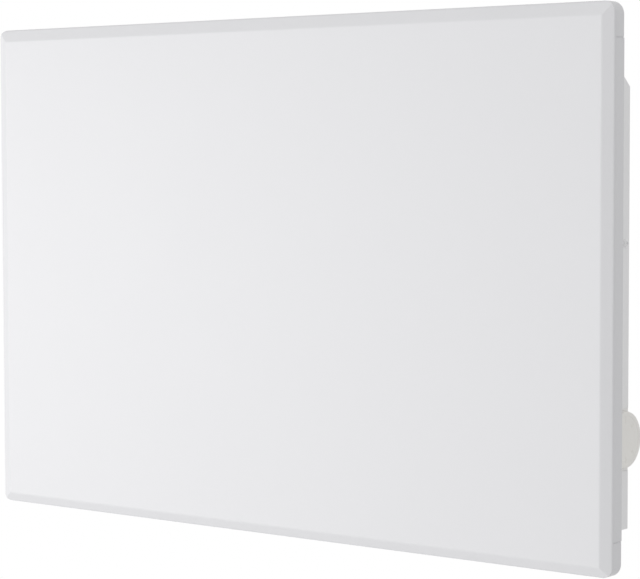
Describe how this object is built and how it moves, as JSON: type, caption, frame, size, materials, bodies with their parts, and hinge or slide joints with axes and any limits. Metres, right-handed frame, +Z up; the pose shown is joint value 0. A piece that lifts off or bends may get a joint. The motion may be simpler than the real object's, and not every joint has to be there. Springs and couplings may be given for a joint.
{
  "type": "wall panel convector heater",
  "caption": "Slim wall-hung electric convector: a smooth bevelled front panel on a shallow vented casing with a side thermostat dial, hung on a steel wall bracket.",
  "frame": {"origin": "middle of the wall bracket's four screw slots, in the plane of the wall", "axes": "+X to the viewer's right along the panel's long side, +Y into the wall, +Z up; the front panel faces -Y"},
  "size_m": [0.585, 0.08, 0.389],
  "materials": {
    "panel_paint": "smooth satin white powder coat on formed steel",
    "casing_paint": "fine satin white powder coat",
    "painted_screw": "white-lacquered pan head",
    "zinc": "zinc plated",
    "galvanised": "galvanised sheet",
    "fin_aluminium": "mill-finish extrusion",
    "bright_aluminium": "bright rolled sheet",
    "rod_steel": "heat-tinted sheath",
    "ceramic": "unglazed steatite",
    "limiter_body": "dark moulded body with a metal cap",
    "housing_plastic": "fine-grained warm white",
    "dial_plastic": "fine-grained warm off-white",
    "spindle_steel": "turned",
    "component_black": "moulded",
    "board": "solder mask",
    "capacitor_film": "moulded box",
    "terminal_plastic": "moulded",
    "sensor_epoxy": "dipped bead",
    "gland_plastic": "ribbed moulding",
    "grommet_rubber": "matt",
    "switch_frame": "fine-grained",
    "switch_rocker": "smooth",
    "lead_brown": "silicone insulation",
    "lead_blue": "silicone insulation",
    "lead_green": "green and yellow insulation",
    "brass_plated": "bright",
    "clip_nylon": "natural nylon",
    "bracket_steel": "galvanised pressed sheet with a fine spangle",
    "catch_plastic": "grey acetal",
    "spring_steel": "drawn wire"
  },
  "bodies": {
    "heater": {"bracket_crossbar_lower": "bracket_steel", "bracket_crossbar_upper": "bracket_steel", "bracket_rail_left": "bracket_steel", "bracket_rail_right": "bracket_steel", "bracket_rivets": "zinc", "cable_gland": "gland_plastic", "catch_spring_left": "spring_steel", "catch_spring_right": "spring_steel", "circuit_board": "board", "cover_screws": "zinc", "earth_lead": "lead_green", "earth_terminal": "brass_plated", "element_bracket_left": "galvanised", "element_bracket_right": "galvanised", "element_fasteners": "zinc", "element_fins": "fin_aluminium", "element_insulator_left": "ceramic", "element_insulator_right": "ceramic", "front_panel": "panel_paint", "heat_shield": "galvanised", "heating_rod": "rod_steel", "lead_clips": "clip_nylon", "lead_grommet": "grommet_rubber", "limiter_bracket": "galvanised", "limiter_lead": "lead_brown", "limiter_rivets": "zinc", "limiter_screw": "painted_screw", "live_lead": "lead_brown", "module_screws": "zinc", "neutral_lead": "lead_blue", "overheat_limiter": "limiter_body", "panel_screws": "painted_screw", "potentiometer": "component_black", "power_switch_body": "switch_frame", "rear_casing": "casing_paint", "rear_reflector": "bright_aluminium", "relay": "component_black", "room_sensor": "sensor_epoxy", "shield_screws": "zinc", "suppression_capacitor": "capacitor_film", "switch_grommet": "grommet_rubber", "switch_leads": "lead_brown", "terminal_block": "terminal_plastic", "thermostat_cover": "housing_plastic", "thermostat_housing": "housing_plastic"},
    "dial": {"thermostat_dial": "dial_plastic", "dial_spindle": "spindle_steel"},
    "rocker": {"power_switch_rocker": "switch_rocker"},
    "catch_left": {"release_catch_left": "catch_plastic"},
    "catch_right": {"release_catch_right": "catch_plastic"}
  },
  "joints": [
    {"name": "dial_turn", "type": "hinge", "parent": "heater", "child": "dial", "pos_m": [0.28, -0.0427, -0.0895], "axis": [1, 0, 0], "range_deg": [-135, 135]},
    {"name": "power_rocker", "type": "hinge", "parent": "heater", "child": "rocker", "pos_m": [0.2775, -0.055, -0.039], "axis": [0, 1, 0], "range_deg": [-20, 0]},
    {"name": "catch_left_press", "type": "slide", "parent": "heater", "child": "catch_left", "axis": [0, 0, -1], "range_m": [0, 0.008], "stiffness_N_per_m": 350, "springref_m": -0.008, "deforming": ["catch_spring_left"]},
    {"name": "catch_right_press", "type": "slide", "parent": "heater", "child": "catch_right", "axis": [0, 0, -1], "range_m": [0, 0.008], "stiffness_N_per_m": 350, "springref_m": -0.008, "deforming": ["catch_spring_right"]}
  ]
}
